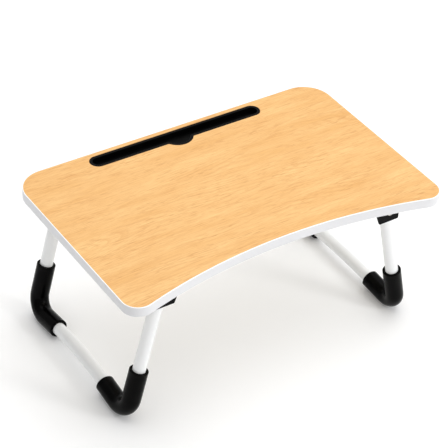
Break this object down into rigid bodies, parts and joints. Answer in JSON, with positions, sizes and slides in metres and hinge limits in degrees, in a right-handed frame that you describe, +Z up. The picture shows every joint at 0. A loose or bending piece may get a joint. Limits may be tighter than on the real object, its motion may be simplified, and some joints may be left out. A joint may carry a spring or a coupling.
{
  "type": "folding laptop table",
  "caption": "Low bed table: wood-print board with a hollow front edge and tablet slot on two U-shaped tube leg frames that fold flat underneath.",
  "frame": {"origin": "on the floor under the middle of the board", "axes": "+X to the right along the board's length, +Y to the rear where the tablet slot is, +Z up"},
  "size_m": [0.6, 0.38, 0.28],
  "materials": {
    "wood_print_board": "satin printed laminate",
    "white_edge_band": "satin white",
    "black_tray_plastic": "satin moulded",
    "white_powder_coated_tube": "glossy powder coat",
    "black_rubber": "satin",
    "black_plug_plastic": "moulded",
    "black_bracket_plastic": "moulded",
    "steel_rivet": "zinc plated",
    "zinc_screw": "zinc plated"
  },
  "bodies": {
    "top": {"tabletop_board": "wood_print_board", "edge_band": "white_edge_band", "tablet_slot_tray": "black_tray_plastic", "bracket_screws": "zinc_screw", "left_front_hinge_bracket": "black_bracket_plastic", "left_front_hinge_rivet": "steel_rivet", "left_rear_hinge_bracket": "black_bracket_plastic", "left_rear_hinge_rivet": "steel_rivet", "right_front_hinge_bracket": "black_bracket_plastic", "right_front_hinge_rivet": "steel_rivet", "right_rear_hinge_bracket": "black_bracket_plastic", "right_rear_hinge_rivet": "steel_rivet"},
    "left_leg": {"left_leg_tube": "white_powder_coated_tube", "left_front_foot_sleeve": "black_rubber", "left_front_tube_plug": "black_plug_plastic", "left_rear_foot_sleeve": "black_rubber", "left_rear_tube_plug": "black_plug_plastic"},
    "right_leg": {"right_leg_tube": "white_powder_coated_tube", "right_front_foot_sleeve": "black_rubber", "right_front_tube_plug": "black_plug_plastic", "right_rear_foot_sleeve": "black_rubber", "right_rear_tube_plug": "black_plug_plastic"}
  },
  "joints": [
    {"name": "right_leg_fold", "type": "hinge", "parent": "top", "child": "right_leg", "pos_m": [0.217, 0.0155, 0.2447], "axis": [0, 1, 0], "range_deg": [0, 103]},
    {"name": "left_leg_fold", "type": "hinge", "parent": "top", "child": "left_leg", "pos_m": [-0.217, 0.0155, 0.2447], "axis": [0, -1, 0], "range_deg": [0, 93.4]}
  ]
}
